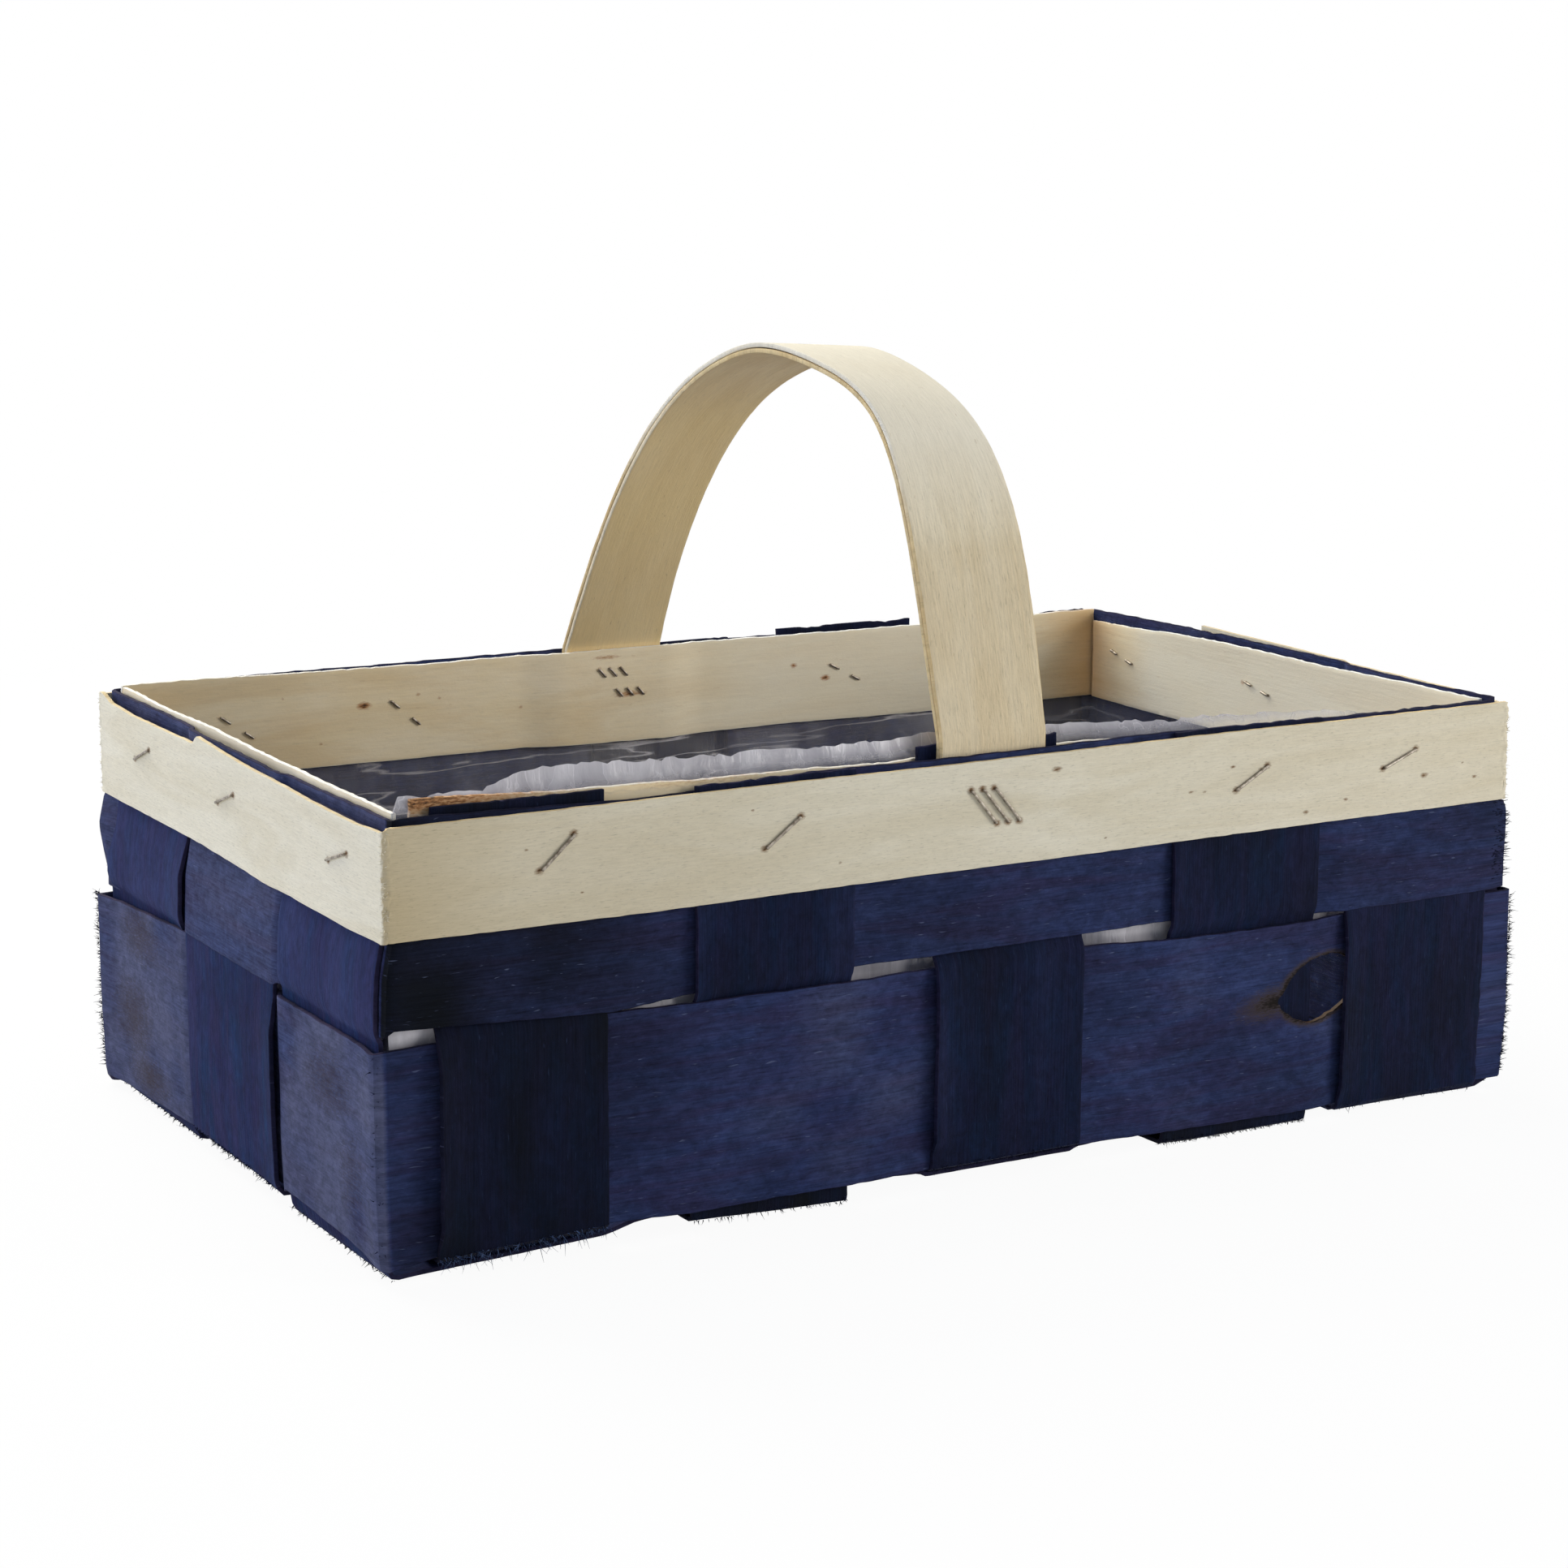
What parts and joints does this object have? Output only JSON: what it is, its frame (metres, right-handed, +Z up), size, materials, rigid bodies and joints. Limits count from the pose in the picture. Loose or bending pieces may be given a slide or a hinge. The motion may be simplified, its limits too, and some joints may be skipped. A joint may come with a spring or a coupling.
{
  "type": "handled basket",
  "caption": "Open rectangular basket plaited from wide dyed veneer strips, with a pale stapled rim, a bent two-ply handle and a clear film liner.",
  "frame": {"origin": "middle of the bottom, on the surface that the basket stands on", "axes": "+X along the length, the handle spans front to back along Y, the front with the knot hole is -Y, +Z up"},
  "size_m": [0.3028, 0.1774, 0.1871],
  "materials": {
    "stake_veneer": "matt, dyed dark blue, grain along the strip",
    "weaver_veneer": "matt, dyed blue with violet mottling, grain along the strip",
    "rim_veneer": "matt, undyed, fine grain along the band",
    "handle_veneer": "matt, undyed, sanded edges",
    "film": "clear glossy film, wrinkled",
    "staple_wire": "dull zinc-grey wire"
  },
  "bodies": {
    "root": {"cross_strip_1": "stake_veneer", "cross_strip_2": "stake_veneer", "cross_strip_3": "stake_veneer", "cross_strip_4": "stake_veneer", "cross_strip_5": "stake_veneer", "long_strip_front": "stake_veneer", "long_strip_middle": "stake_veneer", "long_strip_back": "stake_veneer", "lower_weaver": "weaver_veneer", "upper_weaver": "weaver_veneer", "outer_rim_band": "rim_veneer", "inner_rim_front": "rim_veneer", "inner_rim_back": "rim_veneer", "inner_rim_left": "rim_veneer", "inner_rim_right": "rim_veneer", "handle_outer_ply": "handle_veneer", "handle_inner_ply": "handle_veneer", "liner_film": "film", "rim_staples_front": "staple_wire", "rim_staples_back": "staple_wire", "rim_staples_left": "staple_wire", "rim_staples_right": "staple_wire", "handle_staples_front": "staple_wire", "handle_staples_back": "staple_wire"}
  },
  "joints": []
}
